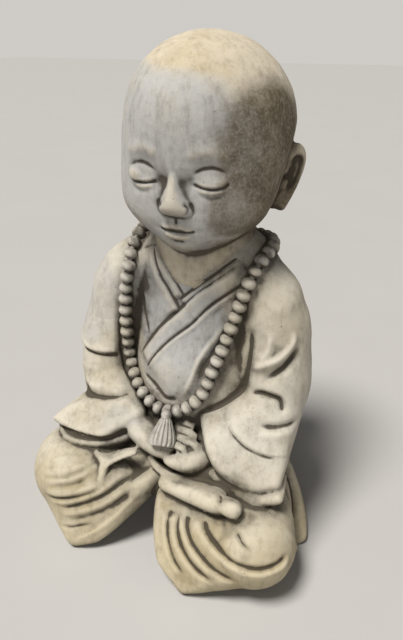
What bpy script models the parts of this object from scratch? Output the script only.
"""A cast stone figure of a young monk, seated cross-legged with hands together in the lap.

Metres, +Z up. The figure faces -Y and its left hand is toward +X. The origin is on the ground, at the
middle of the figure's outline. Positions and girths are in 408ths of the height, so the whole pose grows
with HEIGHT, and the beads, the tassel, the collar band, the folds and the face keep sizes of their own.
"""
import math

import bmesh
import bpy
import numpy as np
from mathutils import Euler, Matrix, Vector
from mathutils.bvhtree import BVHTree

HEIGHT = 0.408
BEAD_DIAMETER = 0.0118
BEAD_LENGTH = 0.0094
BEAD_GAP = 0.0004
BEAD_PROUD = 0.0034
TASSEL_LENGTH = 0.026
TASSEL_WIDTH = 0.0225
COLLAR_BAND = 0.0135
CLOTH_EDGE = 0.0026
FOLD_HEIGHT = 0.0042
CREASE_DEPTH = 0.0030
FINGER_WIDTH = 0.0076
TOE_WIDTH = 0.015
EAR_HEIGHT = 0.050
EYE_WIDTH = 0.024
EYE_SPACING = 0.050
MOUTH_WIDTH = 0.029

VOXEL = 0.0020
RELAX_ROUNDS = 3
SHOULDER_ROUNDS = 10
SHOULDER_LEVELS = (136.0, 152.0)
MOST_TRIANGLES = 5200
BEAD_SIDES = 8
BEAD_RINGS = 5
LOWEST = -12

UNIT = HEIGHT / 408.0
HEAD_CENTRE = (2.0, 25.0, 336.0)
HEAD_BOW = 5.0
HEAD_TURN = 4.0
SIDES = (-1, 1)
NECKLACE = [
    (0, 72, 254), (-36, 62, 256), (-55, 38, 258), (-54, 10, 254), (-53, -5, 239), (-56, -10, 217),
    (-57, -11, 195), (-56, -13, 175), (-54, -14, 153), (-44, -22, 139), (-28, -31, 128), (-8, -36, 121),
    (14, -35, 130), (27, -28, 146), (31, -22, 163), (36, -15, 179), (40, -9, 197), (45, -4, 217),
    (51, -2, 237), (54, 10, 250), (54, 34, 256), (36, 62, 255),
]


def clear_scene():
    for thing in list(bpy.data.objects):
        bpy.data.objects.remove(thing, do_unlink=True)


def smooth_path(points, count):
    """Catmull-Rom curve through rows of any width."""
    rows = np.array(points, float)
    rows = np.concatenate([[2 * rows[0] - rows[1]], rows, [2 * rows[-1] - rows[-2]]])
    t = np.linspace(0, len(rows) - 3 - 1e-9, count)
    i = t.astype(int)
    u = (t - i)[:, None]
    a, b, c, d = rows[i], rows[i + 1], rows[i + 2], rows[i + 3]
    return 0.5 * (2 * b + (c - a) * u + (2 * a - 5 * b + 4 * c - d) * u**2 + (3 * b - a - 3 * c + d) * u**3)


def add_form(bm, form):
    mesh = bpy.data.meshes.new("form")
    form.to_mesh(mesh)
    form.free()
    bm.from_mesh(mesh)
    bpy.data.meshes.remove(mesh)


def add_hull(bm, balls, softness=3.0, turn=None, rings=28, sides=44):
    """A sphere drawn out to the rounded hull of balls (x, y, z, radius)."""
    table = np.array(balls, float)
    centres, radii = table[:, :3], table[:, 3]
    form = bmesh.new()
    made = bmesh.ops.create_uvsphere(form, u_segments=sides, v_segments=rings, radius=1.0)["verts"]
    away = np.array([v.co for v in made])
    reach = away @ centres.T + radii
    share = np.exp((reach - reach.max(axis=1, keepdims=True)) / softness)
    share /= share.sum(axis=1, keepdims=True)
    points = share @ centres + (share @ radii)[:, None] * away
    for vert, point in zip(made, points):
        vert.co = point
    if turn:
        bmesh.ops.transform(form, matrix=turn, verts=made)
    add_form(bm, form)


def add_loft(bm, frames, sides=32):
    """A closed skin over circles of radius 1 set by the frames, the first and the last filled."""
    form = bmesh.new()
    last = len(frames) - 1
    before = None
    for k, frame in enumerate(frames):
        ring = bmesh.ops.create_circle(form, cap_ends=k in (0, last), segments=sides, radius=1.0,
                                       matrix=frame)["verts"]
        members = set(ring)
        edges = [e for v in ring for e in v.link_edges if e.other_vert(v) in members]
        edges = list(dict.fromkeys(edges))
        if before:
            bmesh.ops.bridge_loops(form, edges=before + edges)
        before = edges
    bmesh.ops.recalc_face_normals(form, faces=form.faces)
    add_form(bm, form)


def section(centre, side, top, half_width, half_depth):
    frame = Matrix.Identity(4)
    frame.col[0] = (*(side * half_width), 0.0)
    frame.col[1] = (*(top * half_depth), 0.0)
    frame.col[2] = (*side.cross(top), 0.0)
    frame.translation = centre
    return frame


def add_limb(bm, rows, up=(0, 0, 1), cap=0.6, count=22, sides=28):
    """An oval bar along rows of (x, y, z, half width, half depth), with rounded ends."""
    path = smooth_path(rows, count)
    centres = [Vector(p[:3]) for p in path]
    frames = []
    for k, (centre, row) in enumerate(zip(centres, path)):
        along = (centres[min(k + 1, count - 1)] - centres[max(k - 1, 0)]).normalized()
        side = along.cross(Vector(up)).normalized()
        top = side.cross(along)
        steps = [(1.0, 0.0)]
        if k in (0, count - 1):
            turns = [math.radians(a) for a in (22, 45, 66, 82)]
            steps += [(math.cos(a), math.sin(a)) for a in turns]
        if k == 0:
            steps.reverse()
        way = -1.0 if k == 0 else 1.0
        for shrink, out in steps:
            shift = along * (way * out * cap * min(row[3], row[4]))
            frames.append(section(centre + shift, side, top, row[3] * shrink, row[4] * shrink))
    add_loft(bm, frames, sides)


def add_trunk(bm, rows, count=26, sides=48):
    """A standing body of level ovals, rows of (z, half width, front y, back y)."""
    frames = []
    for z, half_width, front, back in smooth_path(rows, count):
        centre = Vector((0.0, (front + back) / 2, z))
        frames.append(section(centre, Vector((1, 0, 0)), Vector((0, 1, 0)), half_width, (back - front) / 2))
    add_loft(bm, frames, sides)


def head_turn():
    lean = Euler((math.radians(HEAD_BOW), 0, math.radians(HEAD_TURN)))
    return Matrix.Translation(HEAD_CENTRE) @ lean.to_matrix().to_4x4()


def add_head(bm):
    """The skull with a child's full cheeks, a nose, the neck and two ears."""
    turn = head_turn()
    skull = [(0, 8, 14, 60), (0, 18, 10, 56), (0, -6, 15, 57), (11, 6, 10, 56), (-12, 6, 10, 56)]
    cheeks = [(s * 27, -24, -31, 33) for s in SIDES] + [(s * 26, 4, -36, 28) for s in SIDES]
    add_hull(bm, skull + cheeks + [(0, -34, -52, 26)], 5.0, turn, 60, 90)
    nose = [(0, -57, -12, 4.5), (0, -62, -31, 7.5), (8, -58, -34, 5.5), (-8, -58, -34, 5.5)]
    add_hull(bm, nose, 2.0, turn)
    add_limb(bm, [(0, 26, 236, 41, 36), (0, 24, 290, 43, 38)], up=(0, 1, 0))
    for s in SIDES:
        add_ear(bm, turn, s)


def add_ear(bm, turn, s):
    """A rim that curls from the front over the top and down to the lobe, on a full shell."""
    plain_height, middle = 50.0, -32
    tall = EAR_HEIGHT / UNIT / plain_height
    rim = [(57, 8, -20, 4, 4), (60, 14, -10, 5, 4.5), (63, 24, -13, 5.5, 5), (62, 26, -27, 5.5, 5),
           (57, 21, -42, 6, 5), (49, 13, -53, 7, 6)]
    placed = []
    for x, y, z, half_width, half_depth in rim:
        spot = turn @ Vector((s * x, y, (z - middle) * tall + middle))
        placed.append((*spot, half_width, half_depth))
    add_limb(bm, placed, up=(0, 1, 0.2))
    add_hull(bm, [(s * 52, 18, -18, 9), (s * 51, 20, -32, 9.5), (s * 46, 14, -48, 8)], 2.0, turn)


def add_trunk_and_arms(bm):
    """The trunk, both arms, and a wide sleeve of two layers on each."""
    add_trunk(bm, [
        (268, 38, 10, 54), (261, 48, 1, 62), (251, 58, -5, 67), (238, 66, -8, 71), (215, 72, -9, 75),
        (185, 72, -15, 78), (155, 70, -26, 80), (125, 72, -32, 80), (100, 74, -28, 80), (60, 77, -20, 84),
        (0, 80, -20, 86), (LOWEST, 80, -20, 86),
    ])
    right_arm = [(-52, 24, 238, 27, 21), (-70, 20, 214, 31, 29), (-78, 14, 182, 31, 32),
                 (-82, 6, 155, 31, 32), (-80, -8, 132, 27, 27)]
    left_arm = [(45, 26, 238, 23, 20), (62, 24, 214, 26, 27), (68, 20, 180, 26, 31), (73, 14, 150, 27, 31),
                (72, 4, 130, 27, 28)]
    add_limb(bm, right_arm, up=(0.3, 0, 1), cap=0.9)
    add_limb(bm, left_arm, up=(-0.3, 0, 1), cap=0.9)
    add_hull(bm, [(-80, -10, 129, 25), (-70, -30, 112, 18), (-46, -32, 112, 16)])
    add_hull(bm, [(-88, -38, 108, 7), (-103, -63, 98, 4), (-84, -65, 96, 4), (-56, -59, 97, 5),
                  (-30, -40, 114, 7), (-56, -28, 118, 14)], 2.0)
    add_hull(bm, [(-101, -60, 88, 4), (-88, -69, 88, 4), (-72, -68, 87, 4), (-56, -60, 86, 5),
                  (-42, -46, 92, 8), (-72, -36, 100, 10)], 2.0)
    add_hull(bm, [(74, 6, 134, 27), (74, 0, 121, 26), (30, -26, 122, 6), (41, -42, 111, 6), (52, -48, 98, 6),
                  (65, -48, 89, 5.5), (82, -47, 88, 5.5), (95, -39, 91, 7.5)], 2.0)
    add_hull(bm, [(47, -47, 86, 4), (65, -48, 73, 4), (85, -49, 74, 4), (101, -42, 80, 5), (97, -24, 84, 5),
                  (60, -20, 96, 10)], 2.0)


def add_lap(bm):
    """The seat, the two thighs and knees, and the cloth between them."""
    seat = [(46, 44, 34, 36), (52, 14, 48, 36), (50, 44, 5, 34)]
    add_hull(bm, [(s * x, y, z, r) for s in SIDES for x, y, z, r in seat], 4.0)
    add_hull(bm, [(-58, 14, 50, 36), (-86, -60, 45, 43), (-84, -56, 34, 40), (-50, -30, 50, 36)], 4.0)
    add_hull(bm, [(52, 14, 48, 36), (88, -57, 39, 36), (86, -54, 32, 35), (50, -30, 46, 34)], 4.0)
    add_hull(bm, [(0, -10, 60, 32), (-30, -30, 58, 30), (30, -30, 56, 30), (0, -38, 58, 22)], 4.0)


def add_robe_skirts(bm):
    """The flaps over the knees, the turned-up tip on the right one, and the tails behind each thigh."""
    add_hull(bm, [(-86, -60, 46, 41), (-62, -103, 7, 8), (-69, -100, 12, 8.5), (-88, -80, 10, 12),
                  (-14, -48, 54, 12), (-14, -58, 50, 9), (-30, -80, 27, 7), (-46, -95, 12, 8)], 2.0)
    add_hull(bm, [(-14, -50, 54, 11), (-6, -57, 68, 6), (-14, -62, 50, 7), (-34, -70, 40, 10)], 2.0)
    add_hull(bm, [(87, -57, 36, 33), (47, -98, 7, 7), (82, -64, 11, 11), (12, -64, 57, 10),
                  (40, -68, 58, 10), (26, -92, 22, 8), (14, -78, 40, 8)], 2.0)
    knot = (-46, -68, 77.5, 7, 2.8)
    add_limb(bm, [knot, (-54, -68, 79, 3.6, 2.2), (-62, -66, 80, 1.8, 1.6)], up=(-0.2, -0.6, 0.8), cap=0.9)
    add_limb(bm, [knot, (-46.5, -74, 71, 3.8, 2.4), (-46, -80, 62, 1.8, 1.6)], up=(-0.2, -0.7, 0.7), cap=0.9)
    add_limb(bm, [knot, (-34, -63, 84, 5.5, 2.4), (-20, -61, 92, 4, 2)], up=(-0.2, -0.6, 0.8), cap=0.9)
    for s in SIDES:
        tail = [(96, -14, 4, 8), (112, -5, 6, 8.5), (100, 5, 24, 13), (89, 8, 48, 15), (74, 13, 68, 14),
                (98, 24, 10, 10), (80, 34, 12, 15), (70, 34, 46, 13)]
        add_hull(bm, [(s * x, y, z, r) for x, y, z, r in tail])


def add_foot(bm):
    """The one bare foot that shows, lying across the left knee, with its big toe."""
    toe = TOE_WIDTH / 2 / UNIT
    add_hull(bm, [(12, -64, 73, 7.5), (30, -67, 75.5, 8.5), (50, -67.5, 77, 9), (60, -68, 77.5, 9.5),
                  (30, -50, 66, 12), (52, -50, 66, 12)])
    add_hull(bm, [(66, -68, 79, toe), (75, -70, 80.5, toe)], 1.0)


def add_hands(bm):
    """The right hand laid in the left one, its four fingers each a step lower and further forward."""
    add_hull(bm, [(-40, -36, 103, 13), (-22, -46, 100, 12.5), (-8, -50, 98, 11.5), (3, -52, 96.5, 8.5)])
    add_hull(bm, [(42, -38, 101, 10), (33, -46, 97, 10.5), (20, -54, 93.5, 8.5), (8, -57, 91, 5)])
    add_hull(bm, [(-24, -28, 96, 12), (24, -26, 92, 12), (0, -34, 88, 12)])
    add_hull(bm, [(20, -46, 80, 9), (42, -44, 80, 9)])
    lower_edge = [(-7, -57, 88, 4, 3), (4, -60, 85.5, 5, 3.4), (18, -61, 84, 5, 3.8), (32, -58, 85, 5, 4.5)]
    add_limb(bm, lower_edge, cap=1.0, sides=16)
    half = FINGER_WIDTH / 2 / UNIT
    forward, down = -6.2, -3.4
    for k, reach in enumerate((17, 22, 26, 22)):
        y, drop = -30 + forward * k, down * k
        finger = [(-12, y, 106 + drop, half + 1, half + 1), (4, y, 110.5 + drop, half, half),
                  (reach, y, 110.5 + drop, 0.9 * half, 0.9 * half)]
        add_limb(bm, finger, cap=1.0, sides=16)


def seated_line(figure, points, proud):
    """A closed line laid on the figure's skin and raised by proud, as an array with its distances along."""
    corners = [v.co for v in figure.data.vertices]
    skin = BVHTree.FromPolygons(corners, [p.vertices for p in figure.data.polygons])
    rows = []
    for spot in smooth_path(points + points[:1], 160) * UNIT:
        point, normal = skin.find_nearest(Vector(spot))[:2]
        rows.append(point + normal * proud)
    line = np.array(rows)
    for _ in range(6):
        line[1:-1] = (line[:-2] + 2 * line[1:-1] + line[2:]) / 4
    along = np.concatenate([[0.0], np.cumsum(np.linalg.norm(np.diff(line, axis=0), axis=1))])
    return line, along


def add_necklace(figure):
    """A ring of beads along the necklace line, evenly spaced and all sunk into the robe alike."""
    line, along = seated_line(figure, NECKLACE, BEAD_PROUD)
    count = int(along[-1] / (BEAD_LENGTH + BEAD_GAP))
    places = (np.arange(count) + 0.5) * along[-1] / count
    seats = [Vector([np.interp(p, along, line[:, a]) for a in range(3)]) for p in places]
    bm = bmesh.new()
    size = Matrix.Diagonal((BEAD_DIAMETER / 2, BEAD_DIAMETER / 2, BEAD_LENGTH / 2, 1.0))
    for k, seat in enumerate(seats):
        along_string = seats[(k + 1) % count] - seats[k - 1]
        frame = Matrix.Translation(seat) @ along_string.to_track_quat("Z", "Y").to_matrix().to_4x4()
        bmesh.ops.create_uvsphere(bm, u_segments=BEAD_SIDES, v_segments=BEAD_RINGS, radius=1.0,
                                  matrix=frame @ size)
    return helper_object("necklace_beads", bm)


def helper_object(name, bm):
    mesh = bpy.data.meshes.new(name)
    bm.to_mesh(mesh)
    bm.free()
    helper = bpy.data.objects.new(name, mesh)
    helper.hide_render = True
    helper.display_type = "WIRE"
    bpy.context.scene.collection.objects.link(helper)
    return helper


def add_tassel(bm):
    """A knot under the lowest bead and a skirt that widens as it falls."""
    long = TASSEL_LENGTH / UNIT
    wide = TASSEL_WIDTH / 2 / UNIT
    top = Vector((-0.5, -41.5, 124))
    fall = Vector((0.20, -0.65, -0.73)).normalized()
    add_hull(bm, [(*top, 4.6), (*(top - fall * 2), 4.2)], 1.0, rings=12, sides=18)
    rows = []
    for share, width, half_depth in ((0.0, 0.40, 4.0), (0.3, 0.62, 5.0), (0.65, 0.90, 6.0), (1.0, 1.0, 5.0)):
        rows.append((*(top + fall * (share * long)), width * wide, half_depth))
    add_limb(bm, rows, up=(0, 0.5, 1), cap=0.3, sides=24)


def arrays_of(mesh):
    count = len(mesh.vertices)
    points = np.empty(count * 3, np.float32)
    normals = np.empty(count * 3, np.float32)
    mesh.vertices.foreach_get("co", points)
    mesh.vertices.foreach_get("normal", normals)
    return points.reshape(-1, 3).astype(float) / UNIT, normals.reshape(-1, 3).astype(float)


def near(points, normals, line, reach):
    """Vertices near a line, measured along the surface: index, distance, side of it and share along it."""
    slack = 12.0
    low, high = line.min(axis=0) - reach - slack, line.max(axis=0) + reach + slack
    index = np.nonzero(((points > low) & (points < high)).all(axis=1))[0]
    p, n = points[index], normals[index]
    best = np.full(len(index), 1e9)
    side = np.zeros(len(index))
    share = np.zeros(len(index))
    spans = np.diff(line, axis=0)
    for k, (start, span) in enumerate(zip(line[:-1], spans)):
        t = np.clip(((p - start) @ span) / (span @ span), 0, 1)
        gap = start + t[:, None] * span - p
        lift = (gap * n).sum(axis=1)
        flat = gap - lift[:, None] * n
        far = np.linalg.norm(flat, axis=1) + 2 * np.maximum(np.abs(lift) - slack, 0)
        closer = far < best
        left = np.cross(n, span / np.linalg.norm(span))
        best[closer] = far[closer]
        side[closer] = -np.sign((flat * left).sum(axis=1))[closer]
        share[closer] = ((k + t) / len(spans))[closer]
    keep = best < reach
    return index[keep], best[keep], side[keep], share[keep]


def stroke(surface, kind, points, width, height, fade=0.15, fall=14.0):
    """Raises a ridge, sinks a groove, or steps up to a cloth edge on the left of the line as it is seen."""
    where, normals = surface
    line = smooth_path(points, 8 * (len(points) - 1) + 1)
    reach = 2.5 * (fall if kind == "edge" else width)
    index, far, side, share = near(where, normals, line, reach)
    ends = np.clip(share / fade, 0, 1) * np.clip((1 - share) / fade, 0, 1)
    ends = ends * ends * (3 - 2 * ends)
    bell = np.exp(-((far / width) ** 2))
    if kind == "edge":
        over = far * side
        rise = 1 / (1 + np.exp(-np.clip(over / (0.35 * width), -30, 30)))
        front = 0.4 * np.exp(-(((over + width) / width) ** 2))
        move = height * (rise * np.exp(-np.maximum(over, 0) / fall) - front)
    else:
        move = height * bell if kind == "ridge" else -height * bell
    where[index] += normals[index] * (move * ends)[:, None]


def press(surface, centre, radius, height):
    """A round swelling, or a hollow where the height is negative."""
    where, normals = surface
    far = np.linalg.norm(where - np.array(centre, float), axis=1)
    where += normals * (height * np.exp(-((far / radius) ** 2)))[:, None]


def soften(surface, edges, rounds, low, high):
    """Draws each vertex above low toward its neighbours, fully so from high upward."""
    where = surface[0]
    share = np.clip((where[:, 2:] - low) / (high - low), 0, 1)
    ties = np.bincount(edges.ravel(), minlength=len(where))[:, None]
    a, b = edges.T
    for _ in range(rounds):
        total = np.zeros_like(where)
        for axis in range(3):
            total[:, axis] += np.bincount(a, where[b, axis], len(where))
            total[:, axis] += np.bincount(b, where[a, axis], len(where))
        where += share * 0.5 * (total / ties - where)


def on_face(x, z):
    """A point of the face, from the head's own sideways and upward distances."""
    return tuple(head_turn() @ Vector((x, -62 + 0.0095 * x * x, z)))


def carve_face(surface):
    """Brows, closed lids, cheeks and lips of a calm child's face."""
    eye = EYE_WIDTH / 2 / UNIT
    mouth = MOUTH_WIDTH / 2 / UNIT
    for s in SIDES:
        middle = s * (EYE_SPACING / 2 / UNIT)
        press(surface, on_face(middle, -9), 15, -3.4)
        press(surface, on_face(middle, -14), 9, 3.0)
        lid = [on_face(middle - s * eye, -14), on_face(middle, -18.5), on_face(middle + s * eye, -13)]
        stroke(surface, "groove", lid, 1.8, 1.6)
        brow = [on_face(middle - s * eye, 1), on_face(middle, 6), on_face(middle + s * 1.3 * eye, 0)]
        stroke(surface, "ridge", brow, 4.0, 1.4)
        press(surface, on_face(s * 28, -38), 15, 1.6)
    bow = ((-1, -51), (-0.3, -47.8), (0, -48.6), (0.3, -47.8), (1, -51))
    upper = [on_face(x * mouth, z) for x, z in bow]
    lower = [on_face(x * mouth, z) for x, z in ((-0.8, -53.5), (0, -56.5), (0.8, -53.5))]
    seam = [on_face(x * mouth, z) for x, z in ((-1.05, -51), (0, -52), (1.05, -51))]
    stroke(surface, "ridge", upper, 2.6, 1.0)
    stroke(surface, "ridge", lower, 3.2, 1.3)
    stroke(surface, "groove", seam, 1.8, 1.6)
    press(surface, on_face(0, -62), 4, -1.4)


def carve_collar(surface):
    """The two inner necklines, the front band with its seam, and the folds over the belly."""
    step = CLOTH_EDGE / UNIT
    crease = CREASE_DEPTH / UNIT
    band = COLLAR_BAND / UNIT
    inner = [(40, 6, 254), (27, -4, 242), (13, -7, 230), (-3, -9, 215)]
    front = [(42, 6, 250), (13, -8, 225), (-3, -10, 206), (-22, -13, 186), (-40, -16, 157)]
    seam = [(x + 0.80 * band, y - 1, z - 0.60 * band) for x, y, z in front]
    under_inner = [(-2, -9, 219), (-14, -7, 235), (-24, -4, 246), (-30, 2, 256)]
    under_outer = [(-5, -10, 206), (-14, -8, 219), (-25, -5, 233), (-36, 2, 254)]
    stroke(surface, "edge", inner, 1.8, step, 0.06, 9)
    stroke(surface, "edge", front, 2.0, step, 0.06, 16)
    stroke(surface, "groove", seam, 1.9, 0.6 * crease, 0.06)
    stroke(surface, "edge", under_inner, 1.8, step, 0.06, 8)
    stroke(surface, "edge", under_outer, 1.8, step, 0.06, 12)
    stroke(surface, "groove", [(-44, -2, 212), (-42, -5, 193), (-33, -13, 176)], 2.4, 0.4 * crease)
    belly = [(34, -5, 205), (29, -9, 190), (20, -17, 173), (14, -26, 151), (8, -30, 135)]
    stroke(surface, "ridge", belly, 3.0, 0.7 * step, 0.25)
    waist = [(-35, -21, 145), (-19, -28, 140), (-7, -31, 132), (4, -31, 135)]
    stroke(surface, "groove", waist, 2.4, 0.6 * crease)
    press(surface, (-12, -24, 158), 20, 2.5)


def carve_arms(surface):
    """The gaps between arms and trunk, and the folds at the elbows and on the upper arms."""
    step = CLOTH_EDGE / UNIT
    crease = CREASE_DEPTH / UNIT
    fold = FOLD_HEIGHT / UNIT
    left_gap = [(56, -3, 206), (57, -7, 190), (57, -9, 170), (54, -11, 149), (41, -21, 135), (24, -28, 124)]
    right_gap = [(-62, -8, 214), (-62, -14, 180), (-59, -17, 152), (-44, -22, 132), (-25, -29, 121)]
    right_sleeve = [(-112, 8, 158), (-104, -12, 156), (-92, -25, 155), (-74, -28, 156), (-60, -17, 155)]
    right_fold = [(-88, -30, 123), (-79, -42, 119), (-54, -42, 124), (-39, -29, 127)]
    stroke(surface, "groove", left_gap, 3.2, 1.3 * crease, 0.3)
    stroke(surface, "groove", right_gap, 3.0, crease, 0.3)
    stroke(surface, "edge", right_sleeve, 2.4, 1.2 * step, 0.1, 12)
    stroke(surface, "groove", right_fold, 3.6, 0.6 * crease)
    upper = [(89, 6, 204), (89, 4, 193), (81, -4, 182), (66, -11, 174), (59, -9, 175)]
    under_it = [(97, 16, 194), (93, 4, 184), (86, -4, 175), (77, -10, 168), (64, -13, 162)]
    stroke(surface, "ridge", upper, 3.6, 0.6 * fold, 0.25)
    stroke(surface, "groove", under_it, 4.2, 0.6 * fold, 0.3)
    stroke(surface, "ridge", [(73, -4, 205), (72, -7, 187), (64, -10, 177)], 3.6, 0.5 * fold, 0.3)
    elbow = [(60, -15, 151), (73, -16, 154), (85, -12, 151), (89, -12, 146), (89, -15, 138)]
    below = [(73, -26, 131), (85, -22, 130), (95, -12, 130), (99, 1, 131)]
    mouth = [(42, -22, 131), (58, -31, 120), (72, -33, 113), (88, -30, 109), (98, -20, 108)]
    stroke(surface, "groove", elbow, 2.8, 1.1 * crease, 0.2)
    stroke(surface, "groove", below, 3.2, 0.7 * crease, 0.25)
    stroke(surface, "edge", mouth, 2.0, 0.55 * step, 0.3, 12)


def carve_hems(surface):
    """The slit between the two layers at the right sleeve's mouth."""
    slit = 1.2 * CREASE_DEPTH / UNIT
    right = [(-104, -58, 91), (-88, -69, 92.5), (-72, -69, 91.5), (-56, -64, 91), (-42, -54, 95),
             (-32, -50, 105)]
    stroke(surface, "groove", right, 2.2, slit, 0.08)


def carve_lap(surface):
    """Folds that fan out over each knee, and a crease between each thigh and the robe's tail."""
    fold = FOLD_HEIGHT / UNIT
    crease = CREASE_DEPTH / UNIT
    right_knee = [
        ([(-98, -96, 62), (-78, -95, 67), (-65, -85, 71), (-57, -75, 75)], 0.4),
        ([(-94, -100, 55), (-76, -97, 61), (-62, -88, 65), (-52, -74, 71)], 0.5),
        ([(-97, -99, 44), (-80, -100, 48), (-64, -96, 52), (-51, -86, 56), (-45, -81, 60)], 0.65),
        ([(-92, -102, 38), (-67, -99, 43), (-46, -83, 51), (-33, -70, 61), (-21, -58, 71)], 0.7),
        ([(-78, -104, 29), (-58, -99, 34), (-40, -86, 41), (-27, -73, 51), (-12, -59, 65)], 0.6),
    ]
    left_knee = [
        ([(48, -100, 20), (38, -96, 26), (30, -92, 34), (24, -86, 43), (21, -81, 52), (21, -77, 62)], 0.4),
        ([(74, -93, 22), (58, -96, 28), (45, -93, 35), (36, -89, 43), (31, -84, 52), (29, -80, 62)], 0.65),
        ([(90, -88, 28), (72, -93, 33), (58, -92, 39), (46, -88, 46), (39, -83, 54), (36, -79, 63)], 0.65),
        ([(122, -62, 48), (116, -76, 46), (105, -86, 45), (92, -90, 46), (78, -90, 48), (64, -87, 53),
          (51, -78, 66)], 0.85),
    ]
    for line, share in right_knee + left_knee:
        stroke(surface, "edge", line, 3.0, share * fold, 0.25, 9)
    for s in SIDES:
        thigh = [(s * 108, -30, 30), (s * 104, -16, 56), (s * 92, -6, 78)]
        stroke(surface, "groove", thigh, 3.4, crease, 0.2)


def carve_back(surface):
    """Plain folds that fall down the back and gather above the seat."""
    crease = CREASE_DEPTH / UNIT
    for s in SIDES:
        side_fold = [(s * 52, 72, 205), (s * 50, 79, 160), (s * 56, 83, 110), (s * 66, 82, 60)]
        stroke(surface, "groove", side_fold, 4.4, 0.9 * crease, 0.3)
    waist = [(-60, 78, 96), (-20, 83, 88), (24, 83, 90), (62, 78, 98)]
    stroke(surface, "groove", waist, 4.0, crease, 0.2)


def evaluated_mesh(figure):
    bpy.context.view_layer.update()
    graph = bpy.context.evaluated_depsgraph_get()
    mesh = bpy.data.meshes.new_from_object(figure.evaluated_get(graph))
    figure.modifiers.clear()
    figure.data = mesh
    return mesh


def unite(figure):
    """One skin over all the forms, and a light smoothing."""
    union = figure.modifiers.new("union", "REMESH")
    union.mode = "VOXEL"
    union.voxel_size = VOXEL
    relax = figure.modifiers.new("relax", "SMOOTH")
    relax.factor = 0.5
    relax.iterations = RELAX_ROUNDS
    return evaluated_mesh(figure)


def carve(mesh):
    """Softens the shoulders and head, then works in the folds and the face."""
    edges = np.empty(len(mesh.edges) * 2, np.int32)
    mesh.edges.foreach_get("vertices", edges)
    surface = arrays_of(mesh)
    soften(surface, edges.reshape(-1, 2), SHOULDER_ROUNDS, *SHOULDER_LEVELS)
    mesh.vertices.foreach_set("co", (surface[0] * UNIT).astype(np.float32).ravel())
    mesh.update()
    surface = arrays_of(mesh)
    for work in (carve_collar, carve_arms, carve_hems, carve_lap, carve_back, carve_face):
        work(surface)
    mesh.vertices.foreach_set("co", (surface[0] * UNIT).astype(np.float32).ravel())
    mesh.update()


def centre(figure):
    """Moves the crown to the full height and the outline over the origin, and returns the move."""
    mesh = figure.data
    points = arrays_of(mesh)[0] * UNIT
    above = points[points[:, 2] > 0]
    middle = (above.min(axis=0) + above.max(axis=0)) / 2
    shift = np.array([-middle[0], -middle[1], HEIGHT - points[:, 2].max()])
    mesh.vertices.foreach_set("co", (points + shift).astype(np.float32).ravel())
    mesh.update()
    return Vector(shift)


def thin_out(figure):
    """Fewer triangles, kept where the form turns most."""
    count = sum(len(p.vertices) - 2 for p in figure.data.polygons)
    fewer = figure.modifiers.new("fewer", "DECIMATE")
    fewer.ratio = MOST_TRIANGLES / count
    fewer.use_collapse_triangulate = True
    evaluated_mesh(figure)


def combine(figure, name, operation, other):
    step = figure.modifiers.new(name, "BOOLEAN")
    step.operation = operation
    step.solver = "EXACT"
    step.object = other


def ground_block():
    """Everything below z = 0, so that the figure stands flat."""
    bm = bmesh.new()
    size = Matrix.Diagonal((2 * HEIGHT, 2 * HEIGHT, HEIGHT, 1.0))
    bmesh.ops.create_cube(bm, size=1.0, matrix=Matrix.Translation((0, 0, -HEIGHT / 2)) @ size)
    return helper_object("ground_cutter", bm)


def finish(figure):
    stone = bpy.data.materials.new("cast_stone")
    stone.use_nodes = True
    shader = stone.node_tree.nodes["Principled BSDF"]
    shader.inputs["Base Color"].default_value = (0.47, 0.42, 0.33, 1.0)
    shader.inputs["Roughness"].default_value = 0.86
    shader.inputs["Metallic"].default_value = 0.0
    figure.data.materials.append(stone)
    figure.data.shade_smooth()


def build():
    bm = bmesh.new()
    for add in (add_head, add_trunk_and_arms, add_lap, add_robe_skirts, add_foot, add_hands, add_tassel):
        add(bm)
    mesh = bpy.data.meshes.new("monk_figure")
    bmesh.ops.scale(bm, vec=Vector((UNIT, UNIT, UNIT)), verts=bm.verts)
    bm.to_mesh(mesh)
    bm.free()
    figure = bpy.data.objects.new("monk_figure", mesh)
    bpy.context.scene.collection.objects.link(figure)
    carve(unite(figure))
    beads = add_necklace(figure)
    beads.location = centre(figure)
    thin_out(figure)
    combine(figure, "beads", "UNION", beads)
    combine(figure, "ground", "DIFFERENCE", ground_block())
    finish(figure)


clear_scene()
build()
